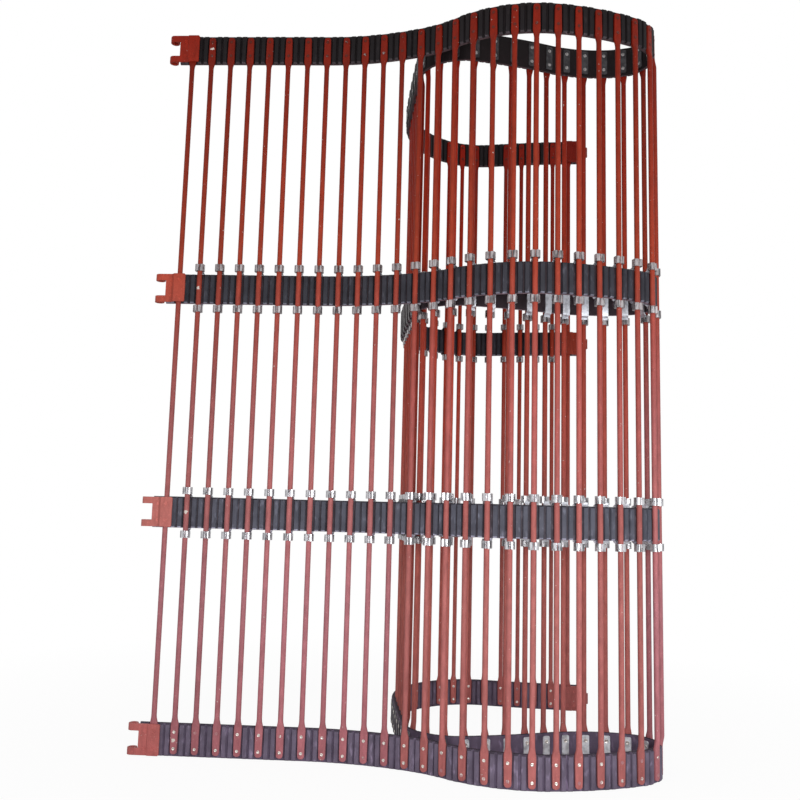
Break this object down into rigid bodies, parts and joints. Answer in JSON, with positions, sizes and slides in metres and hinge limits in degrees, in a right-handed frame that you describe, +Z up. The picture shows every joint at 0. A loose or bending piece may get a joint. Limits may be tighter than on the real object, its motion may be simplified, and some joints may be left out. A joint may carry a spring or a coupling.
{
  "type": "sieve belt",
  "caption": "Folded sieve belt of upright steel rods on ribbed rubber belts, standing on edge, with fork and tongue connectors for a joining rod.",
  "frame": {"origin": "on the floor, at the middle of the folded belt's footprint", "axes": "+Z up along the rods, +X along the front run from the forks, +Y away from the viewer to the back run"},
  "size_m": [0.998, 0.6786, 1.436],
  "materials": {
    "belt_rubber": "matt moulded rubber",
    "rod_paint": "red paint",
    "zinc_plate": "zinc plated"
  },
  "bodies": {
    "front_run": {"belts_front_run": "belt_rubber", "rods_front_run": "rod_paint", "clips_front_run": "zinc_plate", "plates_front_run": "zinc_plate", "forks": "rod_paint"},
    "front_belly": {"belts_front_belly": "belt_rubber", "rods_front_belly": "rod_paint", "clips_front_belly": "zinc_plate", "plates_front_belly": "zinc_plate"},
    "fold_a": {"belts_fold_a": "belt_rubber", "rods_fold_a": "rod_paint", "clips_fold_a": "zinc_plate", "plates_fold_a": "zinc_plate"},
    "fold_b": {"belts_fold_b": "belt_rubber", "rods_fold_b": "rod_paint", "clips_fold_b": "zinc_plate", "plates_fold_b": "zinc_plate"},
    "fold_c": {"belts_fold_c": "belt_rubber", "rods_fold_c": "rod_paint", "clips_fold_c": "zinc_plate", "plates_fold_c": "zinc_plate"},
    "return_run": {"belts_return_run": "belt_rubber", "rods_return_run": "rod_paint", "clips_return_run": "zinc_plate", "plates_return_run": "zinc_plate"},
    "turn_a": {"belts_turn_a": "belt_rubber", "rods_turn_a": "rod_paint", "clips_turn_a": "zinc_plate", "plates_turn_a": "zinc_plate"},
    "turn_b": {"belts_turn_b": "belt_rubber", "rods_turn_b": "rod_paint", "clips_turn_b": "zinc_plate", "plates_turn_b": "zinc_plate"},
    "turn_c": {"belts_turn_c": "belt_rubber", "rods_turn_c": "rod_paint", "clips_turn_c": "zinc_plate", "plates_turn_c": "zinc_plate"},
    "turn_d": {"belts_turn_d": "belt_rubber", "rods_turn_d": "rod_paint", "clips_turn_d": "zinc_plate", "plates_turn_d": "zinc_plate"},
    "back_run": {"belts_back_run": "belt_rubber", "rods_back_run": "rod_paint", "clips_back_run": "zinc_plate", "plates_back_run": "zinc_plate", "tongues": "rod_paint"}
  },
  "joints": [
    {"name": "flex_front", "type": "hinge", "parent": "front_run", "child": "front_belly", "pos_m": [0.00583, -0.21663, 0.718], "axis": [0, 0, 1], "range_deg": [-16, 12]},
    {"name": "flex_fold_entry", "type": "hinge", "parent": "front_belly", "child": "fold_a", "pos_m": [0.45104, -0.27427, 0.718], "axis": [0, 0, 1], "range_deg": [-20, 0.5]},
    {"name": "flex_fold_1", "type": "hinge", "parent": "fold_a", "child": "fold_b", "pos_m": [0.47981, -0.24649, 0.718], "axis": [0, 0, 1], "range_deg": [-39, 0.5]},
    {"name": "flex_fold_2", "type": "hinge", "parent": "fold_b", "child": "fold_c", "pos_m": [0.48457, -0.20677, 0.718], "axis": [0, 0, 1], "range_deg": [-39, 0.5]},
    {"name": "flex_fold_3", "type": "hinge", "parent": "fold_c", "child": "return_run", "pos_m": [0.46318, -0.17297, 0.718], "axis": [0, 0, 1], "range_deg": [-39, 0.5]},
    {"name": "flex_turn_1", "type": "hinge", "parent": "return_run", "child": "turn_a", "pos_m": [0.11316, -0.217, 0.718], "axis": [0, 0, 1], "range_deg": [-8, 6]},
    {"name": "flex_turn_2", "type": "hinge", "parent": "turn_a", "child": "turn_b", "pos_m": [0.04232, -0.18359, 0.718], "axis": [0, 0, 1], "range_deg": [-8, 8]},
    {"name": "flex_turn_3", "type": "hinge", "parent": "turn_b", "child": "turn_c", "pos_m": [0.01094, -0.02935, 0.718], "axis": [0, 0, 1], "range_deg": [-12, 10]},
    {"name": "flex_turn_4", "type": "hinge", "parent": "turn_c", "child": "turn_d", "pos_m": [0.01634, 0.20808, 0.718], "axis": [0, 0, 1], "range_deg": [-12, 12]},
    {"name": "flex_turn_5", "type": "hinge", "parent": "turn_d", "child": "back_run", "pos_m": [0.16309, 0.33238, 0.718], "axis": [0, 0, 1], "range_deg": [-12, 12]}
  ]
}
